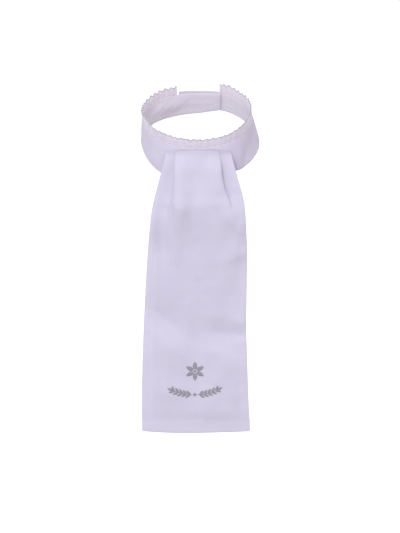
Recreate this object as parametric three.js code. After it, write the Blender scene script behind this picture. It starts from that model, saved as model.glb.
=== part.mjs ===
// A pre-tied stock tie in its worn form. A shaped neck band goes once round the neck and
// overlaps itself at the nape, where a touch fastener holds it. A gathered ruffle stands on
// the band's top edge, and a pleated tail hangs from the band's front.
// Millimetres. +X is to the right of someone facing the tie, -Y is its front, +Z is up.
// The origin is the middle of the neck opening.

import * as THREE from 'three';

// Driving sizes
const COLLAR_TILT = 16; // degrees from level, with the front of the collar lower
const BAND_WALL = 1.8; // two plies and an interlining
const RUFFLE_WALL = 1.0;
const TAIL_WALL = 1.0; // two plies, turned and pressed
const FASTENER_WALL = 1.2;
const SEWN_GAP = 0.3; // clearance between pieces that are sewn or pressed together
const FULL_TURN = 360;

// Neck band
const BAND_FROM = -203; // the inner end, in degrees from the front, positive to the right
const BAND_TO = 199.5; // the outer end, which laps over the inner one
const BAND_COLUMNS = 80;
const BAND_ROWS = 5;
const OVERLAP_PITCH = BAND_WALL + FASTENER_WALL + 2 * SEWN_GAP;
const OVERLAP_EASE_FROM = 125; // where each end starts to leave the common line
const OVERLAP_EASE_TO = 156;

// Plan of the band by direction, as radii of its top and bottom edges
const BAND_PLAN = [
  { direction: 0, top: 56.0, bottom: 63.2 },
  { direction: 25, top: 57.5, bottom: 63.6 },
  { direction: 50, top: 57.8, bottom: 63.4 },
  { direction: 70, top: 58.0, bottom: 63.2 },
  { direction: 90, top: 57.6, bottom: 62.2 },
  { direction: 110, top: 57.4, bottom: 60.6 },
  { direction: 130, top: 59.2, bottom: 59.8 },
  { direction: 156, top: 61.3, bottom: 60.8 },
  { direction: 180, top: 59.0, bottom: 58.8 },
  { direction: 204, top: 61.0, bottom: 60.2 },
  { direction: 230, top: 60.2, bottom: 58.8 },
  { direction: 250, top: 58.8, bottom: 58.6 },
  { direction: 270, top: 58.4, bottom: 59.2 },
  { direction: 290, top: 58.8, bottom: 60.0 },
  { direction: 310, top: 59.2, bottom: 61.8 },
  { direction: 335, top: 57.5, bottom: 63.0 },
];

// Heights of the band's edges along its length: deep at the front, narrow at the nape
const BAND_HEIGHTS = [
  { angle: -205, top: 13.4, bottom: -5.7 },
  { angle: -180, top: 13.0, bottom: -9.5 },
  { angle: -155, top: 12.9, bottom: -10.4 },
  { angle: -130, top: 12.9, bottom: -10.5 },
  { angle: -110, top: 12.8, bottom: -11.5 },
  { angle: -90, top: 12.5, bottom: -12.5 },
  { angle: -70, top: 13.0, bottom: -14.5 },
  { angle: -50, top: 13.0, bottom: -18.5 },
  { angle: -25, top: 10.8, bottom: -24.0 },
  { angle: 0, top: 9.6, bottom: -26.0 },
  { angle: 25, top: 11.5, bottom: -24.0 },
  { angle: 50, top: 14.6, bottom: -18.5 },
  { angle: 70, top: 16.2, bottom: -15.0 },
  { angle: 90, top: 15.8, bottom: -13.0 },
  { angle: 110, top: 14.8, bottom: -10.0 },
  { angle: 130, top: 13.8, bottom: -7.5 },
  { angle: 155, top: 14.2, bottom: -7.5 },
  { angle: 180, top: 14.0, bottom: -8.6 },
  { angle: 205, top: 14.6, bottom: -8.8 },
];

// Ruffle
const RUFFLE_FROM = -157.5;
const RUFFLE_TO = 158;
const RUFFLE_HEIGHT = 9.5;
const RUFFLE_GATHERS = 50;
const COLUMNS_PER_GATHER = 6;
const RUFFLE_ROWS = 2;
const RUFFLE_SWING = 1.35; // how far a gather stands out at the free edge
const RUFFLE_BASE_SWING = 0.25;
const RUFFLE_SCALLOP = 0.6; // rise and fall of the free edge, over every second gather
const GATHER_UNEVENNESS = [
  { shift: 0.9, waves: 5 },
  { shift: 0.6, waves: 12 },
];

// Touch fastener between the overlapping ends
const FASTENER_FROM = 163;
const FASTENER_TO = 197;
const FASTENER_BOTTOM = -4.5;
const FASTENER_TOP = 8.5;
const FASTENER_COLUMNS = 8;

// Tail by height: how far forward its middle hangs, its side edges, the fold edges of its
// two pleats, how deep a pleat runs back under itself, how far the front panel stands
// proud of the sides, how wide a pleat spreads as it opens, and how far the sides recede
const TAIL_SECTIONS = [
  { height: -9, front: -57.0, left: -33.3, right: 33.2, leftFold: -23.0, rightFold: 22.6,
    underlap: 8.5, rise: 2.6, spread: 0.6, recede: 8.5 },
  { height: -20, front: -59.6, left: -35.6, right: 35.8, leftFold: -23.5, rightFold: 23.4,
    underlap: 8.0, rise: 2.8, spread: 0.6, recede: 8.5 },
  { height: -32, front: -62.4, left: -38.2, right: 38.8, leftFold: -24.2, rightFold: 25.0,
    underlap: 6.5, rise: 3.2, spread: 0.8, recede: 8.0 },
  { height: -45, front: -65.0, left: -41.4, right: 42.4, leftFold: -25.2, rightFold: 28.2,
    underlap: 4.0, rise: 3.8, spread: 1.6, recede: 7.0 },
  { height: -58, front: -67.0, left: -44.6, right: 46.0, leftFold: -26.2, rightFold: 31.8,
    underlap: 0.8, rise: 3.8, spread: 5.0, recede: 5.5 },
  { height: -73, front: -68.4, left: -48.2, right: 47.6, leftFold: -26.5, rightFold: 32.5,
    underlap: 0.0, rise: 1.6, spread: 12.0, recede: 4.0 },
  { height: -90, front: -68.8, left: -50.0, right: 48.6, leftFold: -26.5, rightFold: 32.0,
    underlap: 0.0, rise: 0.4, spread: 16.0, recede: 3.0 },
  { height: -110, front: -68.6, left: -51.6, right: 49.4, leftFold: -26.5, rightFold: 31.0,
    underlap: 0.0, rise: 0.0, spread: 16.0, recede: 2.4 },
  { height: -165, front: -67.8, left: -54.9, right: 49.6, leftFold: -28.0, rightFold: 30.0,
    underlap: 0.0, rise: 0.0, spread: 16.0, recede: 2.0 },
  { height: -221, front: -67.0, left: -57.6, right: 50.3, leftFold: -30.0, rightFold: 29.0,
    underlap: 0.0, rise: 0.0, spread: 16.0, recede: 2.0 },
  { height: -278, front: -66.4, left: -59.9, right: 52.6, leftFold: -31.0, rightFold: 29.0,
    underlap: 0.0, rise: 0.0, spread: 16.0, recede: 2.4 },
  { height: -314, front: -66.0, left: -60.1, right: 54.2, leftFold: -31.0, rightFold: 30.0,
    underlap: 0.0, rise: 0.0, spread: 16.0, recede: 2.8 },
];
const TAIL_TOP = TAIL_SECTIONS[0].height;
const TAIL_BOTTOM = TAIL_SECTIONS[TAIL_SECTIONS.length - 1].height;
const TOP_EDGE_FALL = 3.2; // the sewn edge's ends sit lower than its middle
const HEM_RISE = 1.4; // the hem's corners sit higher than its middle
const EDGE_CURVE_REACH = 60; // how far up or down the tail those two curves fade out
const TAIL_ROWS = 34;
const ROW_CROWDING = 1.25; // rows lie closer together towards the pleated top

// Across one pleat, from the front panel to the side panel. `back` is the way under the
// fold as a share of the underlap, `layer` is 0 on the front panel and 2 on the side, and
// `turn` is how far the cloth bulges where it turns, as a share of the layers' pitch.
const PLEAT_PROFILE = [
  { back: 1.0, layer: 0.0, turn: 0.0 },
  { back: 0.5, layer: 0.0, turn: 0.0 },
  { back: 0.0, layer: 0.0, turn: 0.0 },
  { back: 0.0, layer: 0.5, turn: 0.5 },
  { back: 0.0, layer: 1.0, turn: 0.0 },
  { back: 0.5, layer: 1.0, turn: 0.0 },
  { back: 1.0, layer: 1.0, turn: 0.0 },
  { back: 1.0, layer: 1.5, turn: -0.5 },
  { back: 1.0, layer: 2.0, turn: 0.0 },
  { back: 0.5, layer: 2.0, turn: 0.0 },
  { back: 0.0, layer: 2.0, turn: 0.0 },
];
const PLEAT_OPENS_BELOW = 3.0; // with less underlap than this a pleat opens into a step
const FACE_SEARCH_STEPS = 12;
const FRONT_PANEL_COLUMNS = 4;
const SIDE_PANEL_COLUMNS = 4;

// Soft folds of the hanging cloth, each a ridge (or a valley, where the depth is negative)
const TAIL_FOLDS = [
  { across: -28, height: -66, angle: 62, reach: 10, width: 7, depth: 2.0 },
  { across: 34, height: -70, angle: -52, reach: 12, width: 7, depth: 2.2 },
  { across: -5, height: -82, angle: 2, reach: 60, width: 11, depth: 1.8 },
  { across: 38, height: -112, angle: 24, reach: 26, width: 10, depth: 1.8 },
  { across: -32, height: -196, angle: -48, reach: 26, width: 13, depth: 2.4 },
  { across: 26, height: -192, angle: 4, reach: 24, width: 11, depth: -2.0 },
  { across: 26, height: -218, angle: -14, reach: 28, width: 12, depth: 1.8 },
  { across: -4, height: -190, angle: 88, reach: 48, width: 9, depth: -1.2 },
  { across: -44, height: -130, angle: 88, reach: 52, width: 8, depth: -1.6 },
];

const { clamp, lerp, smoothstep, degToRad, radToDeg } = THREE.MathUtils;

// A smooth value between the rows of a table; `period` joins its ends into a loop
function fromTable(rows, key, column, at, period = 0) {
  const count = rows.length;
  const turns = period ? Math.floor((at - rows[0][key]) / period) : 0;
  const place = at - turns * period;
  const keyOf = (i) => (period
    ? rows[(i + count) % count][key] + Math.floor(i / count) * period
    : rows[Math.min(Math.max(i, 0), count - 1)][key]);
  const valueOf = (i) => (period
    ? rows[(i + count) % count][column]
    : rows[Math.min(Math.max(i, 0), count - 1)][column]);
  const last = period ? count - 1 : count - 2;
  const rising = Math.sign(keyOf(1) - keyOf(0));
  let i = 0;
  while (i < last && (place - keyOf(i + 1)) * rising >= 0) i += 1;
  const slope = (j) => (valueOf(j + 1) - valueOf(j - 1)) / (keyOf(j + 1) - keyOf(j - 1));
  const span = keyOf(i + 1) - keyOf(i);
  const t = clamp((place - keyOf(i)) / span, 0, 1);
  const a = slope(i) * span;
  const b = slope(i + 1) * span;
  return (2 * t ** 3 - 3 * t ** 2 + 1) * valueOf(i) + (t ** 3 - 2 * t ** 2 + t) * a
    + (3 * t ** 2 - 2 * t ** 3) * valueOf(i + 1) + (t ** 3 - t ** 2) * b;
}

// From the collar's own frame, whose axis is the neck's, to the tie's frame
function tiltCollar(point) {
  return point.applyAxisAngle(new THREE.Vector3(1, 0, 0), degToRad(COLLAR_TILT));
}

// How far each end of the band steps in or out so that the ends can lap
function lapStep(angle) {
  const ease = smoothstep(Math.abs(angle), OVERLAP_EASE_FROM, OVERLAP_EASE_TO);
  return Math.sign(angle) * ease * OVERLAP_PITCH / 2;
}

// A point in the middle of the band's wall: level 0 is its bottom edge, 1 its top edge
function bandPoint(angle, level, outward = 0) {
  const radius = lerp(
    fromTable(BAND_PLAN, 'direction', 'bottom', angle, FULL_TURN),
    fromTable(BAND_PLAN, 'direction', 'top', angle, FULL_TURN),
    level,
  ) + lapStep(angle) + outward;
  const height = lerp(
    fromTable(BAND_HEIGHTS, 'angle', 'bottom', angle),
    fromTable(BAND_HEIGHTS, 'angle', 'top', angle),
    level,
  );
  const turn = degToRad(angle);
  return new THREE.Vector3(radius * Math.sin(turn), -radius * Math.cos(turn), height);
}

// A closed wall of cloth of even thickness about a grid of points in the middle of the
// cloth. `midPoint` takes shares from 0 to 1 along the columns and the rows, and the
// wall's first side faces the way that a column turned towards a row points.
function clothWall(midPoint, columns, rows, thickness) {
  const mid = [];
  for (let c = 0; c <= columns; c += 1) {
    mid.push([]);
    for (let r = 0; r <= rows; r += 1) mid[c].push(midPoint(c / columns, r / rows));
  }
  const clampedMid = (c, r) => mid[Math.min(Math.max(c, 0), columns)][
    Math.min(Math.max(r, 0), rows)];
  const direction = (from, to) => to.clone().sub(from).normalize();
  const positions = [];
  const indexOf = (c, r, side) => ((c * (rows + 1)) + r) * 2 + side;
  for (let c = 0; c <= columns; c += 1) {
    for (let r = 0; r <= rows; r += 1) {
      const here = mid[c][r];
      const along = direction(clampedMid(c - 1, r), here).add(direction(here, clampedMid(c + 1, r)));
      const up = direction(clampedMid(c, r - 1), here).add(direction(here, clampedMid(c, r + 1)));
      const normal = along.cross(up).normalize();
      for (const side of [0.5, -0.5]) {
        positions.push(...here.clone().addScaledVector(normal, side * thickness));
      }
    }
  }
  const faces = [];
  const quad = (a, b, c, d) => faces.push(a, b, c, a, c, d);
  for (let c = 0; c < columns; c += 1) {
    for (let r = 0; r < rows; r += 1) {
      quad(indexOf(c, r, 0), indexOf(c + 1, r, 0), indexOf(c + 1, r + 1, 0), indexOf(c, r + 1, 0));
      quad(indexOf(c, r, 1), indexOf(c, r + 1, 1), indexOf(c + 1, r + 1, 1), indexOf(c + 1, r, 1));
    }
    quad(indexOf(c, 0, 1), indexOf(c + 1, 0, 1), indexOf(c + 1, 0, 0), indexOf(c, 0, 0));
    quad(indexOf(c, rows, 0), indexOf(c + 1, rows, 0), indexOf(c + 1, rows, 1),
      indexOf(c, rows, 1));
  }
  for (let r = 0; r < rows; r += 1) {
    quad(indexOf(0, r, 0), indexOf(0, r + 1, 0), indexOf(0, r + 1, 1), indexOf(0, r, 1));
    quad(indexOf(columns, r, 1), indexOf(columns, r + 1, 1), indexOf(columns, r + 1, 0),
      indexOf(columns, r, 0));
  }
  const geometry = new THREE.BufferGeometry();
  geometry.setAttribute('position', new THREE.Float32BufferAttribute(positions, 3));
  geometry.setIndex(faces);
  geometry.computeVertexNormals();
  return geometry;
}

function neckBandGeometry() {
  const wallPoint = (along, up) => tiltCollar(bandPoint(lerp(BAND_FROM, BAND_TO, along), up));
  return clothWall(wallPoint, BAND_COLUMNS, BAND_ROWS, BAND_WALL);
}

// The ruffle swings in and out along its length, little where it is sewn and most at its
// free edge, and its gathers are unevenly wide
function ruffleGeometry() {
  const columns = RUFFLE_GATHERS * COLUMNS_PER_GATHER;
  const wallPoint = (along, up) => {
    const angle = lerp(RUFFLE_FROM, RUFFLE_TO, along);
    const topEdge = bandPoint(angle, 1);
    const rising = topEdge.clone().sub(bandPoint(angle, 0)).normalize();
    const outward = new THREE.Vector3(topEdge.x, topEdge.y, 0).normalize();
    let phase = 2 * Math.PI * RUFFLE_GATHERS * along;
    for (const { shift, waves } of GATHER_UNEVENNESS) {
      phase += shift * Math.sin(2 * Math.PI * waves * along);
    }
    const swing = lerp(RUFFLE_BASE_SWING, RUFFLE_SWING, up);
    const height = SEWN_GAP + up * (RUFFLE_HEIGHT + RUFFLE_SCALLOP * Math.sin(phase / 2));
    return tiltCollar(topEdge.addScaledVector(rising, height)
      .addScaledVector(outward, swing * Math.sin(phase)));
  };
  return clothWall(wallPoint, columns, RUFFLE_ROWS, RUFFLE_WALL);
}

function fastenerGeometry() {
  const wallPoint = (along, up) => {
    const angle = lerp(FASTENER_FROM, FASTENER_TO, along);
    const radius = fromTable(BAND_PLAN, 'direction', 'top', angle, FULL_TURN);
    const bottom = fromTable(BAND_PLAN, 'direction', 'bottom', angle, FULL_TURN);
    const height = lerp(FASTENER_BOTTOM, FASTENER_TOP, up);
    const turn = degToRad(angle);
    const mean = (radius + bottom) / 2;
    return tiltCollar(new THREE.Vector3(mean * Math.sin(turn), -mean * Math.cos(turn), height));
  };
  return clothWall(wallPoint, FASTENER_COLUMNS, 1, FASTENER_WALL);
}

// How far forward the band's outer face is at a place across and up its front, closed in
// on step by step; above and below the band its nearest edge counts
function bandFaceForward(across, height) {
  let angle = 0;
  let level = 0.5;
  let point = bandPoint(angle, level, BAND_WALL / 2);
  for (let step = 0; step < FACE_SEARCH_STEPS; step += 1) {
    const local = bandPoint(angle, level, BAND_WALL / 2);
    angle = radToDeg(Math.asin(clamp(across / Math.hypot(local.x, local.y), -1, 1)));
    point = tiltCollar(local);
    const bandHeight = fromTable(BAND_HEIGHTS, 'angle', 'top', angle)
      - fromTable(BAND_HEIGHTS, 'angle', 'bottom', angle);
    level = clamp(level + (height - point.z) / bandHeight, 0, 1);
  }
  return point.y;
}

// The raised or sunken part of the cloth that the soft folds give it
function foldRelief(across, height) {
  let relief = 0;
  for (const fold of TAIL_FOLDS) {
    const turn = degToRad(fold.angle);
    const dx = across - fold.across;
    const dz = height - fold.height;
    const lengthwise = (dx * Math.cos(turn) + dz * Math.sin(turn)) / fold.reach;
    const crosswise = (dz * Math.cos(turn) - dx * Math.sin(turn)) / fold.width;
    relief += fold.depth * Math.exp(-(lengthwise ** 2) - crosswise ** 2);
  }
  return relief;
}

// The tail's columns, as places on the left side panel, the left pleat, the front panel,
// the right pleat and the right side panel
function tailColumns() {
  const columns = [];
  const pleatSpan = PLEAT_PROFILE.length - 1;
  const half = (side) => {
    const list = [];
    for (let i = 1; i < FRONT_PANEL_COLUMNS; i += 1) {
      list.push({ side, panel: i / FRONT_PANEL_COLUMNS });
    }
    PLEAT_PROFILE.forEach((point, i) => {
      list.push({ side, along: i / pleatSpan - 0.5, ...point });
    });
    for (let i = 1; i <= SIDE_PANEL_COLUMNS; i += 1) {
      list.push({ side, flank: i / SIDE_PANEL_COLUMNS });
    }
    return list;
  };
  columns.push(...half('left').reverse(), { side: 'right', panel: 0 }, ...half('right'));
  return columns;
}

// One point in the middle of the tail's cloth
function tailPoint(column, height) {
  const row = (name) => fromTable(TAIL_SECTIONS, 'height', name, height);
  const fold = row(`${column.side}Fold`);
  const edge = row(column.side);
  const outward = Math.sign(edge);
  const underlap = Math.max(row('underlap'), 0);
  const spread = row('spread');
  const layerPitch = Math.max(row('rise'), 0) / 2;
  const closed = smoothstep(underlap, 0, PLEAT_OPENS_BELOW);
  const acrossAt = (along, { back, turn }) => fold
    + outward * (along * spread - back * underlap + turn * closed * layerPitch);
  let across;
  let layer = 0;
  if (column.panel !== undefined) {
    across = column.panel * acrossAt(-0.5, PLEAT_PROFILE[0]);
  } else if (column.flank !== undefined) {
    across = lerp(acrossAt(0.5, PLEAT_PROFILE.at(-1)), edge, column.flank);
    layer = 2;
  } else {
    across = acrossAt(column.along, column);
    layer = lerp(2 * smoothstep(column.along, -0.5, 0.5), column.layer, closed);
  }
  const share = across / edge;
  const fall = TOP_EDGE_FALL * (1 - smoothstep(TAIL_TOP - height, 0, EDGE_CURVE_REACH));
  const rise = HEM_RISE * (1 - smoothstep(height - TAIL_BOTTOM, 0, EDGE_CURVE_REACH));
  const z = height + (rise - fall) * share ** 2;
  const hanging = row('front') + row('recede') * share ** 2;
  const onBand = bandFaceForward(across, z) - SEWN_GAP - TAIL_WALL / 2;
  const proud = layerPitch * (2 - layer) + foldRelief(across, z);
  return new THREE.Vector3(across, Math.min(hanging, onBand) - proud, z);
}

function tailGeometry() {
  const columns = tailColumns();
  const last = columns.length - 1;
  const heightOf = (share) => lerp(TAIL_BOTTOM, TAIL_TOP, 1 - (1 - share) ** ROW_CROWDING);
  const wallPoint = (along, up) => tailPoint(columns[Math.round(along * last)], heightOf(up));
  return clothWall(wallPoint, last, TAIL_ROWS, TAIL_WALL);
}

const cotton = (colour, roughness) => new THREE.MeshStandardMaterial({
  color: colour, roughness, metalness: 0,
});

function piece(name, geometry, material) {
  const mesh = new THREE.Mesh(geometry, material);
  mesh.name = name;
  return mesh;
}

const stockTie = new THREE.Group();
stockTie.add(
  piece('neck_band', neckBandGeometry(), cotton(0xd9d4e6, 0.75)),
  piece('ruffle', ruffleGeometry(), cotton(0xddd8e8, 0.8)),
  piece('tail', tailGeometry(), cotton(0xd8d3e6, 0.7)),
  piece('touch_fastener', fastenerGeometry(), cotton(0xe4e2ea, 0.9)),
);

export default stockTie;
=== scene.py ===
# %% [markdown]
# A stock tie, worn
# A stock tie is the neckwear of riders: a cotton band that goes round the neck, a ruffle
# on the band's top edge, and a wide pleated tail that hangs from the band's front.
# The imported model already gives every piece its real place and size. It could be dressed
# with materials alone, but cloth needs finer folds than its solids have, so each solid is
# replaced by a sheet of cloth that follows the same sizes.

# %% Load the frame
import math
from bisect import bisect_right

import bmesh
import bpy
from mathutils import Matrix, Vector, noise
from mathutils.bvhtree import BVHTree


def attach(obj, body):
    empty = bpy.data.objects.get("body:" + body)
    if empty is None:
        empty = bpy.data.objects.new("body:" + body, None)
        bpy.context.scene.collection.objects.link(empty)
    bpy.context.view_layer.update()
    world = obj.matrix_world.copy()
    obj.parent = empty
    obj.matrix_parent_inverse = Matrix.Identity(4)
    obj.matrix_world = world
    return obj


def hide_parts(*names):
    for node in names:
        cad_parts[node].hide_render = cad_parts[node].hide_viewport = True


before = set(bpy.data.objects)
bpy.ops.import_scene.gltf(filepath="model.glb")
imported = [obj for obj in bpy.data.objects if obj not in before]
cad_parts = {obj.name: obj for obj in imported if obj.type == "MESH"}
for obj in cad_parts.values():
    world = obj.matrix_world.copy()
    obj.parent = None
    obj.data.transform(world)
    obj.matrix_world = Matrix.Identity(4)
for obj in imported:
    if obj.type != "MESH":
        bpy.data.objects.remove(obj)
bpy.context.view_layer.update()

MM = 0.001
print("solids to dress:", ", ".join(sorted(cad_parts)))


# %% [markdown]
# The camera
# The photograph looks down on the tie by 17 degrees through a long lens, so the ring of the
# band opens into an ellipse. The camera could be found by eye, but a place worked out from
# a distance and an elevation is easier to check and to change.

# %% Camera
LOOK_AT = Vector((0.0, 0.0, -120 * MM))
CAMERA_DISTANCE = 1.584
CAMERA_ELEVATION = math.radians(17)
AIM_BELOW = math.radians(1.025)  # the tie sits a little above the middle of the picture
CAMERA_ASIDE = 1.6 * MM

camera_data = bpy.data.cameras.new("camera")
camera_data.lens = 100
camera_data.sensor_fit = "VERTICAL"
camera_data.sensor_height = 36
camera = bpy.data.objects.new("camera", camera_data)
back_off = Vector((0, -math.cos(CAMERA_ELEVATION), math.sin(CAMERA_ELEVATION)))
camera.location = LOOK_AT + CAMERA_DISTANCE * back_off + Vector((CAMERA_ASIDE, 0, 0))
camera.rotation_euler = (math.pi / 2 - CAMERA_ELEVATION - AIM_BELOW, 0, 0)
bpy.context.scene.collection.objects.link(camera)
bpy.context.scene.camera = camera
print("camera at", [round(c, 3) for c in camera.location])


# %% [markdown]
# Smooth tables
# A pattern cutter writes a garment as a few measures at a few places, and draws smooth
# lines between them. The tables below are such measures. A spline object could join them,
# but a small class that gives any column at any place is simpler to read from.

# %% Smooth tables
def table(columns, rows):
    """Rows of plain numbers, with each number named by its column."""
    names = columns.split()
    return [dict(zip(names, row)) for row in rows]


class Measures:
    """Rows of named measures, with smooth values between them. A period joins the ends."""

    def __init__(self, key, rows, period=None):
        rows = sorted(rows, key=lambda row: row[key])
        if period:
            before = {**rows[-1], key: rows[-1][key] - period}
            after = [{**row, key: row[key] + period} for row in rows[:2]]
            rows = [before] + rows + after
        self.period = period
        self.keys = [row[key] for row in rows]
        self.columns = {name: [row[name] for row in rows] for name in rows[0] if name != key}

    def slope(self, values, i):
        low = max(i - 1, 0)
        high = min(i + 1, len(values) - 1)
        return (values[high] - values[low]) / (self.keys[high] - self.keys[low])

    def at(self, name, place):
        values = self.columns[name]
        if self.period:
            start = self.keys[1]
            place = start + (place - start) % self.period
        i = bisect_right(self.keys, place) - 1
        i = min(max(i, 0), len(self.keys) - 2)
        span = self.keys[i + 1] - self.keys[i]
        t = min(max((place - self.keys[i]) / span, 0.0), 1.0)
        rise = self.slope(values, i) * span
        fall = self.slope(values, i + 1) * span
        return (
            (2 * t ** 3 - 3 * t ** 2 + 1) * values[i]
            + (t ** 3 - 2 * t ** 2 + t) * rise
            + (3 * t ** 2 - 2 * t ** 3) * values[i + 1]
            + (t ** 3 - t ** 2) * fall
        )


def mix(a, b, share):
    return a + (b - a) * share


def ease(value, start, end):
    """0 before start, 1 after end, and a soft way between."""
    t = min(max((value - start) / (end - start), 0.0), 1.0)
    return t * t * (3 - 2 * t)


print("halfway along a smooth way:", ease(5, 0, 10))


# %% [markdown]
# Folds
# A fold in cloth is a long ridge or valley that fades at its ends. Sculpting by hand would
# not repeat, so each fold is a row of a table: where its middle is, which way it runs, how
# far it reaches, how far it spreads on its upper and its lower side, and how high it is.
# A crest is round as a rule, and a softness below 1 creases it. No cloth is quite flat
# between its folds either, so soft swells are added to them.

# %% Folds
FADED = 2.6  # so many reaches from its middle a fold has no height left


def relief_of(folds, x, y):
    """How high a table of folds lifts the cloth at the place x, y."""
    relief = 0.0
    for fold in folds:
        turn = math.radians(fold["angle"])
        dx = x - fold["x"]
        dy = y - fold["y"]
        along = (dx * math.cos(turn) + dy * math.sin(turn)) / fold["reach"]
        if abs(along) > FADED:
            continue
        aside = dy * math.cos(turn) - dx * math.sin(turn)
        aside /= fold["upper"] if aside > 0 else fold["lower"]
        soft = fold.get("soft", 1.0)
        crest = math.exp(soft - math.sqrt(aside * aside + soft * soft))
        relief += fold["depth"] * math.exp(-along * along) * crest
    return relief


def swells(x, y, size, depth, seed):
    """Shallow uneven swells, about one size across."""
    return depth * noise.noise(Vector((x / size, y / size, seed)))


lone_fold = table("x y angle reach upper lower depth", [(0, 0, 0, 5, 2, 2, 1)])
print("a fold of depth 1, at its middle and 2 aside:",
      relief_of(lone_fold, 0, 0), round(relief_of(lone_fold, 0, 2), 2))


# %% [markdown]
# A piece and its flat cloth
# Every mesh is built with bmesh and then put into the scene as one object. A woven material
# also has to know where each corner lies in the flat cloth. Unwrapping would guess at it,
# so it is measured: along each row from the row's middle, and up the middle of the sheet,
# in metres, so that the threads keep an even pitch on the shaped cloth.

# %% A piece and its flat cloth
def finished_piece(name, bm, materials):
    """Turns a bmesh into a smooth-shaded object that sits at the origin."""
    mesh = bpy.data.meshes.new(name)
    bm.to_mesh(mesh)
    bm.free()
    mesh.shade_smooth()
    for material in materials:
        mesh.materials.append(material)
    piece = bpy.data.objects.new(name, mesh)
    bpy.context.scene.collection.objects.link(piece)
    return piece


def measure_cloth(bm, grid, columns, rows):
    """Writes each corner's place in the flat cloth: along its row, and up the middle."""
    cloth = bm.loops.layers.uv["cloth"]
    middle = columns // 2
    flat = {}
    up = 0.0
    for row in range(rows + 1):
        if row:
            up += (grid[middle, row].co - grid[middle, row - 1].co).length
        flat[grid[middle, row]] = (0.0, up)
        for step, end in ((1, columns), (-1, 0)):
            across = 0.0
            for column in range(middle, end, step):
                there = grid[column + step, row]
                across += step * (there.co - grid[column, row].co).length
                flat[there] = (across, up)
    for face in bm.faces:
        for loop in face.loops:
            loop[cloth].uv = flat[loop.vert]


# %% [markdown]
# A sheet of cloth
# All the cloth starts as a flat grid, as it does on the cutting table. The grid's points
# are then carried to their places by a function, which is truer to the picture than a
# simulation, and the Solidify modifier gives the sheet its real thickness. A vertex group
# thins that thickness where an edge is turned and pressed. One number for each point says
# where the cloth is turned in, which the material shows as a paler strip.

# %% A sheet of cloth
def cloth_sheet(name, columns, rows, place, wall, materials, wall_share=None, turned=None):
    """A sheet whose grid points, given as shares across and up, go where place says."""
    bm = bmesh.new()
    bm.loops.layers.uv.new("cloth")
    bmesh.ops.create_grid(bm, x_segments=columns, y_segments=rows, size=0.5)
    bmesh.ops.translate(bm, verts=bm.verts, vec=(0.5, 0.5, 0))
    thickness = bm.verts.layers.deform.new("wall")
    plies = bm.verts.layers.float.new("plies")
    grid = {}
    for vert in bm.verts:
        column = round(vert.co.x * columns)
        row = round(vert.co.y * rows)
        grid[column, row] = vert
        vert[thickness][0] = wall_share(vert.co.x, vert.co.y) if wall_share else 1.0
        vert[plies] = turned(vert.co.x, vert.co.y) if turned else 0.0
    for (column, row), vert in grid.items():
        vert.co = place(column / columns, row / rows)
    measure_cloth(bm, grid, columns, rows)
    area = sum(face.calc_area() for face in bm.faces)
    piece = finished_piece(name, bm, materials)
    piece.vertex_groups.new(name="wall")
    solidify = piece.modifiers.new("wall", "SOLIDIFY")
    solidify.thickness = wall
    solidify.offset = 0
    solidify.vertex_group = "wall"
    solidify.use_even_offset = True
    solidify.material_offset = len(materials) - 1
    rounded = piece.modifiers.new("rounding", "SUBSURF")
    rounded.levels = 1
    rounded.render_levels = 1
    print(f"{name}: {columns} x {rows} grid, {area * 10000:.1f} square centimetres")
    return piece


# %% [markdown]
# Helpers for materials
# All the materials are made of nodes, which need no image files. Setting and linking each
# input on a line of its own would hide what a material is, so a few short functions do it:
# an input that is given a node's output is linked, and any other is set to its value.

# %% Helpers for materials
def fill(tree, node, inputs):
    """Links or sets a node's inputs, given by name or by number."""
    for name, value in inputs.items():
        if isinstance(value, bpy.types.NodeSocket):
            tree.links.new(value, node.inputs[name])
        else:
            node.inputs[name].default_value = value


def add_node(tree, kind, inputs, **settings):
    node = tree.nodes.new(kind)
    for name, value in settings.items():
        setattr(node, name, value)
    fill(tree, node, inputs)
    return node


def new_material(name):
    """A material, its node tree and its Principled shader."""
    material = bpy.data.materials.new(name)
    material.use_nodes = True
    return material, material.node_tree, material.node_tree.nodes["Principled BSDF"]


def cloth_map(tree):
    """The place in the flat cloth, in metres."""
    return add_node(tree, "ShaderNodeUVMap", {}, uv_map="cloth").outputs["UV"]


def stretched_noise(tree, vector, scale, detail):
    mapping = add_node(tree, "ShaderNodeMapping", {"Vector": vector, "Scale": scale})
    inputs = {"Vector": mapping.outputs["Vector"], "Scale": 1.0, "Detail": detail}
    return add_node(tree, "ShaderNodeTexNoise", inputs).outputs["Fac"]


def sum_of(tree, first, weight, second):
    """first times weight, plus second."""
    inputs = {0: first, 1: weight, 2: second}
    return add_node(tree, "ShaderNodeMath", inputs, operation="MULTIPLY_ADD").outputs["Value"]


def blend(tree, share, first, second):
    """The first colour where share is 0, the second where it is 1."""
    inputs = {"Factor": share, "A": first, "B": second}
    return add_node(tree, "ShaderNodeMix", inputs, data_type="RGBA").outputs["Result"]


def bump_of(tree, height, strength, distance):
    inputs = {"Height": height, "Strength": strength, "Distance": distance}
    return add_node(tree, "ShaderNodeBump", inputs).outputs["Normal"]


print("materials before the first piece:", len(bpy.data.materials))


# %% [markdown]
# Woven cotton
# The real cloth is a fine white cotton that the picture shows with a cool, lilac cast. An
# image of cloth could be wrapped on, but a weave made by nodes stays sharp at any distance.
# Two sets of bands, one along each thread direction, cross in the cloth's own UV map, and
# stretched noise gives the slubs of spun yarn. A little light passes through the cloth, so
# it has some subsurface scattering. The strips where it is turned in are slightly paler.

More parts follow.
